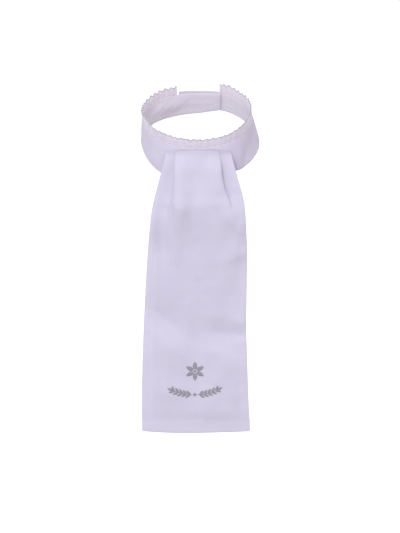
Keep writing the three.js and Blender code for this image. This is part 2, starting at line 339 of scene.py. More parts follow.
# %% Woven cotton
def thread_bands(tree, vector, direction, pitch):
    """Bands that repeat every pitch metres, slightly uneven as spun yarn is."""
    scale = math.pi / (10 * pitch)
    inputs = {"Vector": vector, "Scale": scale, "Distortion": 0.6, "Detail": 1.0,
              "Detail Scale": 0.4}
    return add_node(
        tree, "ShaderNodeTexWave", inputs, bands_direction=direction).outputs["Fac"]


def cotton(name, light, dark, see_through=0.05, pitch=0.55 * MM, bump_depth=0.10 * MM):
    """Woven cotton between two near colours, with threads a pitch apart."""
    material, tree, shader = new_material(name)
    cloth = cloth_map(tree)
    threads = {
        0: thread_bands(tree, cloth, "X", pitch),
        1: thread_bands(tree, cloth, "Y", pitch * 1.15),
    }
    weave = add_node(tree, "ShaderNodeMath", threads, operation="MAXIMUM").outputs["Value"]
    slubs = stretched_noise(tree, cloth, (70, 1100, 1), 2.0)
    wear = stretched_noise(tree, cloth, (38, 24, 1), 4.0)
    # the colour is darker where the weave is low, in the gaps between threads, which is painted
    # shade, and it also changes at random over the cloth
    colour = blend(tree, sum_of(tree, weave, 0.4, wear), (*dark, 1), (*light, 1))
    plies = add_node(tree, "ShaderNodeAttribute", {}, attribute_name="plies").outputs["Fac"]
    paler = [1.02 * part for part in light]
    matt = add_node(tree, "ShaderNodeMapRange", {"Value": weave, "To Min": 0.92, "To Max": 0.72})
    fill(tree, shader, {
        "Base Color": blend(tree, plies, colour, (*paler, 1)),
        "Roughness": matt.outputs["Result"],
        "Normal": bump_of(tree, sum_of(tree, slubs, 0.6, weave), 0.4, bump_depth),
        "Specular IOR Level": 0.2,
        "Sheen Weight": 0.1,
        "Sheen Roughness": 0.5,
        "Subsurface Weight": see_through,
        "Subsurface Radius": (1.0, 0.9, 0.85),
        "Subsurface Scale": 3 * MM,
    })
    return material


tail_cotton = cotton("tail_cotton", (0.627, 0.591, 0.719), (0.571, 0.535, 0.663))
# the band's cotton is a slightly lighter copy of the tail's: painted light, which lifts the band
# where it gets less light than the tail
band_cotton = cotton("band_cotton", (0.660, 0.614, 0.752), (0.600, 0.554, 0.692))
# the band's inner face is a lighter, pinker copy of its cotton: painted light that makes up for
# the shade inside the ring, tinted pink as that shade is
inner_cotton_painted_light = cotton("inner_cotton_painted_light", (0.733, 0.687, 0.771), (0.678, 0.633, 0.716), 0.15)
# the ruffle is a thinner, finer cloth that the light shines through, and its inner face is a
# lighter, pinker copy of its cotton: painted light for the light that shines through it
ruffle_cotton = cotton(
    "ruffle_cotton", (0.632, 0.594, 0.700), (0.582, 0.544, 0.650), 1.0, 0.45 * MM, 0.08 * MM)
ruffle_inner_painted_light = cotton(
    "ruffle_inner_painted_light", (0.708, 0.656, 0.758), (0.658, 0.606, 0.708), 1.0, 0.45 * MM, 0.08 * MM)
print("cottons made:", len(bpy.data.materials))


# %% [markdown]
# The pattern of the neck band
# These are the sizes of the real band, in millimetres. They are close to those of its
# solid, and follow the picture's small bends more finely. The radius is given by the
# direction from the neck's axis. The heights of the edges are given along the band, because
# its two ends overlap at the nape and differ there.

# %% Sizes of the neck band
COLLAR_TILT = Matrix.Rotation(math.radians(16), 3, "X")
BAND_WALL = 1.8
FASTENER_WALL = 1.2
SEWN_GAP = 0.3
BAND_FROM = -203.0
BAND_TO = 199.5
OVERLAP_PITCH = BAND_WALL + FASTENER_WALL + 2 * SEWN_GAP

BAND_PLAN = Measures("direction", table("direction top bottom", [
    (0, 56.0, 63.2),
    (25, 57.5, 64.2),
    (50, 57.8, 64.5),
    (70, 56.6, 64.4),
    (90, 55.5, 63.0),
    (110, 56.6, 60.8),
    (130, 59.2, 59.8),
    (156, 61.8, 60.8),
    (180, 60.2, 58.8),
    (204, 61.6, 60.2),
    (230, 60.8, 58.8),
    (250, 59.6, 58.6),
    (270, 58.2, 59.2),
    (290, 57.0, 60.3),
    (310, 58.6, 61.8),
    (335, 57.5, 63.0),
]), period=360)

BAND_HEIGHTS = Measures("angle", table("angle top bottom", [
    (-205, 13.4, -5.7),
    (-180, 13.0, -10.2),
    (-155, 12.9, -12.0),
    (-130, 12.9, -11.0),
    (-110, 12.8, -11.5),
    (-90, 12.5, -12.5),
    (-70, 13.0, -14.5),
    (-50, 13.0, -18.2),
    (-25, 10.8, -24.0),
    (0, 9.6, -26.0),
    (25, 11.5, -24.6),
    (50, 14.6, -19.1),
    (70, 16.2, -15.4),
    (90, 15.8, -13.0),
    (110, 14.8, -10.0),
    (130, 13.8, -7.5),
    (155, 14.2, -7.5),
    (180, 14.0, -8.6),
    (205, 14.6, -8.8),
]))


def depth_of_band(angle):
    return BAND_HEIGHTS.at("top", angle) - BAND_HEIGHTS.at("bottom", angle)


def radius_of_band(angle, level):
    """The middle of the band's wall, at a share of the way up it."""
    return mix(BAND_PLAN.at("bottom", angle), BAND_PLAN.at("top", angle), level)


def about_neck(radius, angle, height):
    """A point about the neck's own axis. Angle 0 is the front, 90 the viewer's right."""
    turn = math.radians(angle)
    return Vector((radius * math.sin(turn), -radius * math.cos(turn), height))


print("band depth at the front:", depth_of_band(0))


# %% [markdown]
# Shaping the neck band
# The band is two plies with an interlining, so it holds its curve, but it has soft dents
# where it is handled, drag lines where its inner end is pulled to the fastener, and small
# puckers beside its seams. All of that is relief on one sheet. Where the ends lap, one end
# steps in and the other out, and bulges only go away from the tape between them.

# %% Folds of the neck band
BAND_FOLDS = table("x y angle reach upper lower depth", [
    (68, 2, 78, 13, 8, 7, -1.9),
    (84, -3, 100, 11, 5, 5, 0.9),
    (51, -7, 74, 12, 5, 6, -1.8),
    (-44, -6, 120, 12, 5, 6, 0.7),
    (-136, 3, -22, 10, 2.2, 3, -1.7),
    (-146, 1, -25, 12, 2.2, 3, -1.9),
    (-156, 0, -27, 10, 2, 3, -1.4),
    (-116, -2, -50, 9, 4, 4, 0.9),
    (-184, 0, 2, 17, 1.6, 2.6, -0.6),
    (120, 1, 60, 10, 4, 4, 0.6),
    (38, -20, -75, 9, 3, 5, -3.5),
    (36, -11, -77, 9, 1.8, 5, -4.0),
    (43, -3, 84, 12, 5, 5, 1.2),
    (-42, -21, 8, 16, 11, 6, 1.2),
])
BAND_LENGTH = 420.0
BAND_DEPTH = 22.0  # at its sides
NAPE = 154.0  # from here on the two ends lie on each other


def edge_puckers(along, from_edge, seed):
    """Small puckers that a row of stitches leaves beside an edge."""
    fade = math.exp(-(from_edge / 4.5) ** 2)
    return fade * swells(along, from_edge * 0.35, 4.2, 0.42, seed)


def band_relief(angle, level):
    low = BAND_HEIGHTS.at("bottom", angle)
    high = BAND_HEIGHTS.at("top", angle)
    height = mix(low, high, level)
    relief = relief_of(BAND_FOLDS, angle, height - (low + high) / 2)
    relief += swells(angle, height, 16, 0.5, 3.0)
    relief += edge_puckers(angle, height - low, 7.0)
    relief += 0.6 * edge_puckers(angle, high - height, 9.0)
    calm = ease(abs(angle), 178, 152) if angle > 0 else 1.0
    off_tape = max(relief, 0.0) if angle > 0 else min(relief, 0.0)
    relief = mix(relief, off_tape, ease(abs(angle), NAPE, NAPE + 8))
    return relief * max(calm, 0.25)


def lap_step(angle):
    """How far an end steps in or out so that the ends can lap, and closes at its tip."""
    step = ease(abs(angle), 125, 156) * OVERLAP_PITCH / 2
    closing = 1.7 * ease(angle, -198, -203)
    return math.copysign(step, angle) + closing


def band_spot(angle, level, outward=0.0):
    """A place in the band's wall, in millimetres about the neck's own axis."""
    radius = radius_of_band(angle, level) + lap_step(angle) + outward
    height = mix(BAND_HEIGHTS.at("bottom", angle), BAND_HEIGHTS.at("top", angle), level)
    return about_neck(radius, angle, height)


def band_place(across, up):
    angle = mix(BAND_FROM, BAND_TO, across)
    level = mix(up, 0.5 - 0.5 * math.cos(math.pi * up), 0.6)  # rows crowd to the edges
    spot = band_spot(angle, level, band_relief(angle, level))
    return COLLAR_TILT @ spot * MM


def band_wall_share(across, up):
    """The turned edges are pressed thinner than the middle."""
    from_end = min(across, 1 - across) * BAND_LENGTH
    top_edge = mix(0.4, 1, ease((1 - up) * BAND_DEPTH, 0, 6))
    bottom_edge = mix(0.4, 1, ease(up * BAND_DEPTH, 0, 2.2))
    return top_edge * bottom_edge * mix(0.45, 1, ease(from_end, 0, 4))


print("folds on the band:", len(BAND_FOLDS), "the ends lap", OVERLAP_PITCH, "mm apart")


# %% [markdown]
# The neck band
# The band's outer and inner cloth could be two meshes, but they would cross where the band
# bends. One sheet with thickness serves better: its outer face takes one cotton, and its
# inner face a lighter, pinker copy of it, which is painted light that makes up for the shade
# inside the ring. A column for each millimetre of its length keeps the small puckers.

# %% The neck band
neck_band = cloth_sheet(
    "neck_band_cloth", 400, 20, band_place, BAND_WALL * MM,
    [band_cotton, inner_cotton_painted_light], band_wall_share)


# %% [markdown]
# The touch fastener
# Between the two lapped ends lies a strip of hook-and-loop tape, which shows only as a pale
# line from above and below. Thousands of modelled loops would be wasted there, so the tape
# is one thin sheet, and a fine cellular bump stands for its pile.

# %% The touch fastener
TAPE_FROM = 163.0
TAPE_TO = 197.0
TAPE_BOTTOM = -4.5
TAPE_TOP = 8.5


def tape_pile(name, light, dark, loop_size):
    """Matted nylon loops, each about one loop size across."""
    material, tree, shader = new_material(name)
    inputs = {"Vector": cloth_map(tree), "Scale": 1 / loop_size}
    loops = add_node(tree, "ShaderNodeTexVoronoi", inputs).outputs["Distance"]
    fill(tree, shader, {
        "Base Color": blend(tree, loops, (*dark, 1), (*light, 1)),
        "Roughness": 0.8,
        "Normal": bump_of(tree, loops, 0.8, loop_size / 2),
        "Sheen Weight": 0.3,
    })
    return material


def fastener_place(across, up):
    angle = mix(TAPE_FROM, TAPE_TO, across)
    height = mix(TAPE_BOTTOM, TAPE_TOP, up)
    level = (height - BAND_HEIGHTS.at("bottom", angle)) / depth_of_band(angle)
    return COLLAR_TILT @ about_neck(radius_of_band(angle, level), angle, height) * MM


fastener_pile = tape_pile("fastener_pile", (0.62, 0.60, 0.66), (0.44, 0.42, 0.48), 0.5 * MM)
touch_fastener = cloth_sheet(
    "touch_fastener_tape", 40, 12, fastener_place, FASTENER_WALL * MM, [fastener_pile])


# %% [markdown]
# The ruffle
# A ruffle is a strip that is longer than the edge it is sewn to, here by about a quarter.
# Its fullness is held tight at the seam and opens into loops at the free edge. The cloth
# swings in and out as it goes round, and leans sideways twice as often, which turns a plain
# wave into round loops. Uneven widths and heights keep it from looking machined, and on
# three stretches it leans outwards, stands taller or lies lower, as a worn ruffle does.

# %% The ruffle
RUFFLE_FROM = -157.5
RUFFLE_TO = 159.2
RUFFLE_WALL = 1.0
RUFFLE_HEIGHT = 9.5
RUFFLE_GATHERS = 50
RUFFLE_SEAM = 0.06  # clear of the band's edge by a hair
RUFFLE_CROWD = 1.4  # rows crowd towards the seam


def hump(angle, middle, spread):
    """1 at the middle, and nothing a few spreads away from it."""
    return math.exp(-((angle - middle) / spread) ** 2)


def ruffle_spot(across, up):
    """A place in the ruffle, in millimetres about the neck's own axis."""
    angle = mix(RUFFLE_FROM, RUFFLE_TO, across)
    phase = math.tau * RUFFLE_GATHERS * across
    phase += 0.9 * math.sin(math.tau * 5 * across) + 0.6 * math.sin(math.tau * 12 * across)
    sideways = 0.3 * up * math.sin(2 * phase)
    top_edge = band_spot(angle + sideways, 1, band_relief(angle + sideways, 1))
    rising = (top_edge - band_spot(angle + sideways, 0)).normalized()
    away = Vector((top_edge.x, top_edge.y, 0)).normalized()

    height = RUFFLE_HEIGHT + 0.8 * math.sin(phase + 0.6) + 0.2 * math.sin(phase / 2)
    height += 2.0 * hump(angle, 47, 15)
    height -= 2.2 * hump(angle, -114, 16)
    height += 0.5 * noise.noise(Vector((angle / 3.5, 8.0, 0.0)))

    fullness = 1.0 + 0.45 * noise.noise(Vector((angle / 9, 4.0, up * 0.6)))
    lean = 2.4 * hump(angle, 45, 18) + 2.0 * hump(angle, 106, 15) + 0.9 * hump(angle, -84, 30)
    swing = mix(0.06, 0.75 * fullness, up ** 2) * math.sin(phase)
    swing += 0.5 * up * noise.noise(Vector((angle / 5, 1, 2)))
    swing += lean * up
    return top_edge + rising * (RUFFLE_SEAM + up * height) + away * swing


def ruffle_place(across, up):
    return COLLAR_TILT @ ruffle_spot(across, up ** RUFFLE_CROWD) * MM


def ruffle_wall_share(across, up):
    """Held thin in the seam, full above it, and one ply at the free edge."""
    up = up ** RUFFLE_CROWD
    return mix(0.5, 1.0, ease(up, 0.0, 0.25)) * mix(1.0, 0.62, ease(up, 0.25, 0.9))


ruffle = cloth_sheet(
    "ruffle_cloth", RUFFLE_GATHERS * 14, 7, ruffle_place, RUFFLE_WALL * MM,
    [ruffle_cotton, ruffle_inner_painted_light], ruffle_wall_share)


# %% [markdown]
# The pattern of the tail
# The tail is a wide panel of double cloth. At its top two pleats fold its sides behind the
# front panel, and they open out below. One table gives, by height, how far forward the
# middle hangs, both side edges, how far the sides recede, and the fold edges of the pleats.
# The other gives, down to where the pleats are open, how deep they run back under
# themselves, how far the front panel stands proud, and how wide a pleat spreads.

# %% Sizes of the tail
TAIL_WALL = 1.0
TAIL_TOP = -7.6
TAIL_BOTTOM = -311.8
TAIL_COLUMNS = "height front left right left_recede right_recede left_fold right_fold"
TAIL = Measures("height", table(TAIL_COLUMNS, [
    (-9, -57.0, -33.3, 33.2, 6.8, 7.4, -22.9, 21.0),
    (-20, -59.0, -35.6, 36.2, 4.6, 3.6, -23.1, 21.8),
    (-32, -61.1, -38.7, 39.4, 3.8, 1.6, -23.4, 22.6),
    (-45, -63.5, -42.0, 43.0, 3.4, 1.2, -24.2, 25.6),
    (-53, -64.6, -44.0, 45.1, 3.8, 2.2, -25.6, 29.4),
    (-60, -66.7, -45.7, 46.6, 4.4, 2.4, -28.0, 33.0),
    (-66, -68.0, -47.1, 47.3, 4.6, 2.4, -27.4, 33.0),
    (-75, -68.4, -48.5, 48.1, 4.0, 2.2, -26.5, 32.3),
    (-90, -67.8, -50.0, 48.9, 3.2, 2.0, -26.5, 32.0),
    (-110, -67.5, -51.9, 50.0, 2.4, 1.8, -26.5, 31.0),
    (-165, -67.5, -55.6, 49.9, 2.0, 1.6, -28.0, 30.0),
    (-195, -66.6, -57.2, 49.9, 2.0, 1.5, -29.0, 29.5),
    (-221, -67.6, -58.3, 50.8, 2.0, 1.5, -30.0, 29.0),
    (-255, -69.7, -59.6, 52.1, 3.0, 1.6, -30.6, 29.0),
    (-284, -71.5, -60.3, 53.4, 3.6, 1.8, -31.0, 29.2),
    (-302, -72.1, -60.05, 54.6, 4.0, 2.0, -31.0, 29.6),
    (-314, -73.4, -60.1, 55.0, 4.2, 2.2, -31.0, 30.0),
]))
PLEATS = Measures("height", table("height underlap rise spread", [
    (-9, 8.5, 1.8, 0.6),
    (-20, 8.0, 3.3, 0.6),
    (-32, 6.5, 4.0, 0.8),
    (-45, 4.5, 4.0, 1.4),
    (-53, 2.6, 3.8, 2.6),
    (-60, 0.6, 2.6, 6.0),
    (-66, 0.0, 1.0, 9.5),
    (-75, 0.0, 0.2, 13.0),
    (-90, 0.0, 0.0, 16.0),
    (-110, 0.0, 0.0, 16.0),
]))
print("tail width at the hem:", TAIL.at("right", TAIL_BOTTOM) - TAIL.at("left", TAIL_BOTTOM))


# %% [markdown]
# A pleat
# A pleat is three layers: the front panel runs out to the fold, the cloth turns and runs
# back under it, and then it turns again and runs out as the side panel. The table walks
# along that path: how far back the cloth has gone, on which layer it is, and how far its
# turns round out. Below the sewn part the pleat opens, and the three layers melt into one
# soft step.

# %% The path of a pleat
PLEAT_PATH = Measures("step", table("step back layer turn", [
    (0, 1.0, 0.0, 0.0),
    (1, 0.5, 0.0, 0.0),
    (2, 0.0, 0.0, 0.0),
    (3, 0.0, 0.5, 0.5),
    (4, 0.0, 1.0, 0.0),
    (5, 0.5, 1.0, 0.0),
    (6, 1.0, 1.0, 0.0),
    (7, 1.0, 1.5, -0.5),
    (8, 1.0, 2.0, 0.0),
    (9, 0.5, 2.0, 0.0),
    (10, 0.0, 2.0, 0.0),
]))
PLEAT_STEPS = 10
FRONT_SHARE = 0.35  # of half the cloth's grid
PLEAT_SHARE = 0.40


def layer_pitch(side, height):
    """How far apart the pleat's layers lie, at the tail's middle and at the pleat. The
    right pleat is rolled a little unevenly."""
    pitch = max(PLEATS.at("rise", height), 0.0) / 2
    rolled = mix(1.2, 1.6, ease(height, -10, -26)) * mix(1.0, 0.9, ease(height, -40, -56))
    return pitch, pitch * (1.6 if side < 0 else rolled)


def across_pleats(side, share, height):
    """How far across a place is, and on which layer, by the share of the way along the
    folded cloth from the middle to the left (side -1) or right (side 1) edge."""
    name = "left" if side < 0 else "right"
    fold = TAIL.at(name + "_fold", height)
    underlap = max(PLEATS.at("underlap", height), 0.0)
    spread = PLEATS.at("spread", height)
    closed = ease(underlap, 0, 3)
    _, pitch = layer_pitch(side, height)

    def across_pleat(step):
        along = step / PLEAT_STEPS - 0.5
        turned = PLEAT_PATH.at("turn", step) * closed * pitch
        back = PLEAT_PATH.at("back", step) * underlap
        return fold + side * (along * spread - back + turned)

    if share < FRONT_SHARE:
        return mix(0, across_pleat(0), share / FRONT_SHARE), 0.0
    if share < FRONT_SHARE + PLEAT_SHARE:
        step = (share - FRONT_SHARE) / PLEAT_SHARE * PLEAT_STEPS
        layer = mix(2 * ease(step, 0, PLEAT_STEPS), PLEAT_PATH.at("layer", step), closed)
        return across_pleat(step), layer
    flank = (share - FRONT_SHARE - PLEAT_SHARE) / (1 - FRONT_SHARE - PLEAT_SHARE)
    return mix(across_pleat(PLEAT_STEPS), TAIL.at(name, height), flank), 2.0


print("in the right pleat's sewn top, across and layer:", across_pleats(1, 0.55, -15))


# %% [markdown]
# The tail's folds
# The photograph shows how the hanging cloth moves: two bulges where the pleats let go, a
# crease across under them, drag lines towards the right edge, a long slanting ridge at the
# lower left, and the dark hollow above the hem. Each is one row, by its place on the tail.

# %% Folds of the tail
TAIL_FOLDS = table("x y angle reach upper lower depth soft", [
    # the sewn top and the grooves beside the pleats
    (2, -13.5, 0, 24, 6, 14, 1.6, 0.5),
    (-15, -36, 90, 18, 5, 9, -1.3, 1),
    (28.5, -41, -82, 18, 8, 3, -1.8, 1),
    (-28.5, -42, 92, 24, 12, 2.5, -4.4, 1),
    (4, -57, 0, 16, 10, 11, 0.8, 0.5),
    # the bulges where the pleats let go
    (6, -64, -4, 14, 6, 14, 1.2, 0.4),
    (-20.5, -66, -8, 11, 9, 30, 5.8, 0.3),
    (-33, -68, 92, 9, 6, 4, -2.0, 1),
    (33, -70, -26, 13, 12, 15, 5.4, 0.3),
    (-34, -80, 0, 7, 24, 28, -1.8, 0.3),
    (36, -82, -50, 12, 8, 5, 2.0, 0.4),
    (45, -82, 0, 6, 5, 6, 1.2, 1),
    (-49, -87, 100, 21, 4, 5, 4.0, 1),
    (43, -91, -18, 10, 14, 44, 2.6, 0.3),
    # the crease across under them, and its small drag lines
    (-37, -103, 98, 20, 5, 5, -3.2, 1),
    (42, -115.5, 23, 12, 13, 6, 2.6, 0.3),
    (20, -121.5, 24, 13, 20, 10, 1.7, 0.3),
    (-50, -135, 92, 34, 5, 9, 2.2, 1),
    (0, -138, 10, 5, 3, 3, 0.6, 1),
    (10, -148, 10, 5, 3, 3, 0.5, 1),
    (-28, -150, -8, 24, 10, 12, 1.2, 1),
    # drag lines at the right edge, and the long slanting ridge
    (24, -184, -10, 20, 10, 8, 1.4, 0.5),
    (-12, -187, 88, 24, 6, 6, 2.0, 1),
    (-31, -189, -40, 30, 13, 8, -2.8, 0.3),
    (44, -190, 0, 7, 10, 8, 2.6, 0.5),
    (28, -202, -6, 22, 9, 12, -2.8, 0.3),
    (-36, -210, -39, 35, 11, 46, 6.2, 0.6),
    (44, -211, -4, 7, 3, 4, 1.4, 1),
    (14, -220, -20, 12, 8, 7, 1.6, 0.4),
    (34, -231, -28, 24, 18, 22, 4.4, 0.5),
    # around the ornament and down to the hem
    (18, -252, -4, 9, 6, 4, 0.9, 1),
    (22, -258, 80, 24, 10, 12, 1.6, 1),
    (-36, -260, -40, 22, 14, 20, 3.6, 0.6),
    (-26, -266, 6, 14, 9, 18, 2.0, 0.8),
    (40, -266, -10, 14, 14, 14, 2.4, 0.6),
    (12, -267, -6, 12, 6, 9, 1.2, 1),
    (6, -287, -1, 60, 14, 12, 1.4, 0.6),
    (32, -290, -3, 24, 8, 9, 0.9, 1),
    (-46, -312, 0, 24, 40, 12, 2.4, 0.5),
])
print("folds on the tail:", len(TAIL_FOLDS))


# %% [markdown]
# The band under the tail
# The tail's top lies on the band, so its cloth has to know how far forward the band's face
# is at any place. The band leans and curves too much for one sum. Rays at its mesh could
# tell, but their facets would print through the tail, so the place is closed in on step by
# step in the smooth tables themselves.

# %% The band under the tail
def band_face_forward(across, height):
    """How far forward the band's outer face is at a place across and up its front."""
    angle = 0.0
    level = 0.5
    for _ in range(12):
        local = band_spot(angle, level, BAND_WALL / 2)
        reach = math.hypot(local.x, local.y)
        angle = math.degrees(math.asin(min(max(across / reach, -1), 1)))
        spot = COLLAR_TILT @ local
        level = min(max(level + (height - spot.z) / depth_of_band(angle), 0), 1)
    return spot.y - band_relief(angle, level)


print("the band's face at its middle:", round(band_face_forward(0, -15), 1), "mm")


# %% [markdown]
# Shaping the tail
# At its top the tail lies on the band, and lower down it hangs free, so each point takes
# whichever of the two is further forward. The sewn top is pressed flat and thin, and the
# three layers of its pleats keep just clear of each other. The hem and both sides are
# turned in and a little thicker, and each row of stitches leaves puckers.

# %% The tail's shape
HEM_DEPTH = 13.0
SIDE_SEAM = 6.5
SEWN_DEPTH = 20.0  # the part of the top that is pressed flat
SIDES_FALL = 3.2  # the top's corners sit lower than its middle
SIDES_RISE = 1.4  # and the hem's corners higher
LAYER_GAP = 0.06


def cloth_relief(across, height, from_side):
    """Folds, swells and the thicker turned edges of the hanging cloth."""
    relief = relief_of(TAIL_FOLDS, across, height)
    hanging = ease(height, -40, -90)
    relief += hanging * swells(across, height, 34, 1.1, 11.0)
    relief += mix(0.35, 1, hanging) * swells(across, height, 11, 0.28, 12.0)
    above_hem = height - TAIL_BOTTOM
    relief += 0.45 * ease(above_hem, HEM_DEPTH + 0.7, HEM_DEPTH - 0.7)
    relief += 0.6 * edge_puckers(across, abs(above_hem - HEM_DEPTH) * 0.7, 14.0)
    relief += 0.35 * ease(from_side, SIDE_SEAM + 1.0, SIDE_SEAM - 1.0) * hanging
    relief += 0.5 * edge_puckers(height, from_side * 0.6, 15.0) * hanging
    return relief


def tail_wall(height):
    """The cloth's thickness, which is pressed thin where it is sewn to the band."""
    return TAIL_WALL * mix(0.3, 1, ease(TAIL_TOP - height, 0, 14))


def tail_spot(side, share, height):
    """A place in the tail's cloth, in millimetres, by side, share and height."""
    name = "left" if side < 0 else "right"
    edge = TAIL.at(name, height)
    across, layer = across_pleats(side, share, height)
    out = across / edge
    fall = SIDES_FALL * (1 - ease(TAIL_TOP - height, 0, 60))
    rise = SIDES_RISE * (1 - ease(height - TAIL_BOTTOM, 0, 60))
    z = height + (rise - fall) * out ** 2
    hanging = TAIL.at("front", height) + TAIL.at(name + "_recede", height) * out ** 2

    pressed = ease(height, TAIL_TOP - SEWN_DEPTH, TAIL_TOP)
    on_band = band_face_forward(across, z) - mix(SEWN_GAP + TAIL_WALL / 2, 0.5, pressed)
    middle_pitch, pitch = layer_pitch(side, height)
    lay = mix(0.4 * middle_pitch, pitch, ease(abs(across), 1, 20)) * (2 - layer)
    lean_in = ease(abs(across), 15, 6) * pressed if layer == 0 else 0.0
    proud = mix(lay, 0.0, lean_in) * mix(1, 0.22, pressed)
    proud += cloth_relief(across, z, abs(edge - across))
    stack = (2 - layer) * (tail_wall(height) + LAYER_GAP) * (1 - lean_in)
    return Vector((across, min(min(hanging, on_band) - proud, on_band - stack), z))


print("the hem's middle is at", [round(c, 1) for c in tail_spot(1, 0, TAIL_BOTTOM)])


# %% [markdown]
# Making the tail
# A plain grid would spend as many rows on the smooth middle as on the pleats, so its rows
# crowd together towards the top. Near the pleats the turned side seams are crumpled, and
# their pale strips fade there.

# %% The tail
HEM_WIDTH = 110.0
MEAN_WIDTH = 96.0


def tail_height(up):
    return mix(TAIL_BOTTOM, TAIL_TOP, 1 - (1 - up) ** 1.15)


def tail_place(across, up):
    side = 1 if across > 0.5 else -1
    return tail_spot(side, abs(across - 0.5) * 2, tail_height(up)) * MM


def tail_wall_share(across, up):
    """Pressed edges are thinner, and the top edge is thinnest, where it meets the band."""
    from_bottom = tail_height(up) - TAIL_BOTTOM
    from_side = min(across, 1 - across) * HEM_WIDTH
    share = tail_wall(tail_height(up)) / TAIL_WALL
    share *= mix(0.4, 1, ease(from_bottom, 0, 2))
    return share * mix(0.7, 1, ease(from_side, 0, 2))


def tail_turned(across, up):
    """1 within the hem and the side seams, 0 in the middle of the cloth."""
    from_side = min(across, 1 - across) * MEAN_WIDTH
    in_seam = ease(from_side, SIDE_SEAM + 1.2, SIDE_SEAM - 1.2)
    in_hem = ease(tail_height(up) - TAIL_BOTTOM, HEM_DEPTH + 1, HEM_DEPTH - 1)
    in_seam *= mix(0.3, 1, ease(tail_height(up), -85, -115))
    return max(in_seam, 0.6 * in_hem)


tail = cloth_sheet(
    "tail_cloth", 80, 140, tail_place, TAIL_WALL * MM, [tail_cotton], tail_wall_share,
    tail_turned)


# %% [markdown]
# Thread
# Sewing thread, overlock thread and embroidery silk differ in colour and in how their
# strands lie. One function can make all three: fine noise stands for the twist, and bands
# across the UV map are added for the side-by-side threads of satin stitch.

# %% Thread
def yarn(name, light, dark, run=None):
    """Twisted thread. Run is the pitch of threads that lie side by side, as in satin."""
    material, tree, shader = new_material(name)
    place = add_node(tree, "ShaderNodeTexCoord", {}).outputs["Object"]
    fibres = stretched_noise(tree, place, (2600, 2600, 2600), 2.0)
    if run:
        fibres = sum_of(tree, fibres, 0.4, thread_bands(tree, cloth_map(tree), "X", run))
    fill(tree, shader, {
        "Base Color": blend(tree, fibres, (*dark, 1), (*light, 1)),
        "Roughness": 0.5,
        "Normal": bump_of(tree, fibres, 0.6, 0.12 * MM),
        "Sheen Weight": 0.3,
    })
    return material


sewing_thread = yarn("sewing_thread", (0.700, 0.660, 0.780), (0.560, 0.520, 0.640))
overlock_thread = yarn("overlock_thread", (0.660, 0.625, 0.715), (0.440, 0.415, 0.490))
silver_silk = yarn("silver_silk", (0.330, 0.320, 0.375), (0.200, 0.192, 0.235), 0.45 * MM)
print("materials with the threads:", len(bpy.data.materials))


# %% [markdown]
# Beads of thread
# Stitches and the overlocked edge are short runs of thread on finished cloth. Each run is a
# bead: a sphere of a few faces, drawn out along the thread and pressed flat, and a whole
# row is joined into one mesh. Beads placed by number alone would float or sink, so a ray is
# cast at the cloth, folds and all, to find where each one lies.

# %% Beads of thread
STITCH = 2.6  # from one needle hole to the next
SUNK = 0.14  # the share of a stitch that dips into the hole at each end


def surface_of(piece):
    """The finished face of a cloth piece, to cast rays at."""
    return BVHTree.FromObject(piece, bpy.context.evaluated_depsgraph_get())


def lie_on(surface, start, towards):
    """Where a ray first meets the cloth, and which way the cloth faces there."""
    spot, facing, _, _ = surface.ray_cast(start, towards.normalized())
    return spot, -facing if facing.dot(towards) > 0 else facing


bead_bm = bmesh.new()
bmesh.ops.create_uvsphere(bead_bm, u_segments=6, v_segments=4, radius=0.5)
bead_shape = bpy.data.meshes.new("bead")
bead_bm.to_mesh(bead_shape)
bead_bm.free()


def add_bead(bm, start, end, facing, width, height):
    """One run of thread from start to end, as wide and as high as given."""
    along = end - start
    aside = facing.cross(along).normalized()
    up = along.cross(aside).normalized()
    place = Matrix((aside * width, up * height, along)).transposed().to_4x4()
    place.translation = (start + end) / 2
    bead = bead_shape.copy()
    bead.transform(place)
    bm.from_mesh(bead)
    bpy.data.meshes.remove(bead)


def stitch_row(bm, surface, ray, length):
    """A row of stitches. Ray gives a start and a direction at each share of the row."""
    count = round(length / STITCH)
    for i in range(count):
        start, facing = lie_on(surface, *ray((i + SUNK) / count))
        end, _ = lie_on(surface, *ray((i + 1 - SUNK) / count))
        if (end - start).length < 1.3 * STITCH * MM:  # none leaps across a pleat
            add_bead(bm, start, end, facing, 0.36 * MM, 0.26 * MM)


print("faces of one bead:", len(bead_shape.polygons))


# %% [markdown]
# Stitches of the band
# A row of stitches holds the turned edges of the band on both faces, and a box of stitches
# holds each half of the fastener. The rows stop where the tail covers them.

# %% Stitches of the band
EDGE_INSET = 2.6  # from a turned edge to its stitches
BOX_HEIGHTS = (5, 12.5)  # of the box, below the band's top edge
MM_PER_DEGREE = 1.03  # along the band


def band_ray(angle, inset, outward):
    """A ray at the band's outer (1) or inner (-1) face, at an inset from its top edge."""
    level = 1 - inset / depth_of_band(angle)
    start = COLLAR_TILT @ band_spot(angle, level, 9 * outward) * MM
    end = COLLAR_TILT @ band_spot(angle, level, -9 * outward) * MM
    return start, end - start


band_surface = surface_of(neck_band)
band_bm = bmesh.new()


def stitch_band(first, last, outward, inset):
    """A row along the band from one angle to another. Inset is a function of the angle."""
    def ray(share):
        angle = mix(first, last, share)
        return band_ray(angle, inset(angle), outward)

    stitch_row(band_bm, band_surface, ray, abs(last - first) * MM_PER_DEGREE)


for first, last, outward in ((-151, -38, 1), (43, 195, 1), (-199, 146, -1)):
    stitch_band(first, last, outward, lambda angle: EDGE_INSET)
    stitch_band(first, last, outward, lambda angle: depth_of_band(angle) - EDGE_INSET)

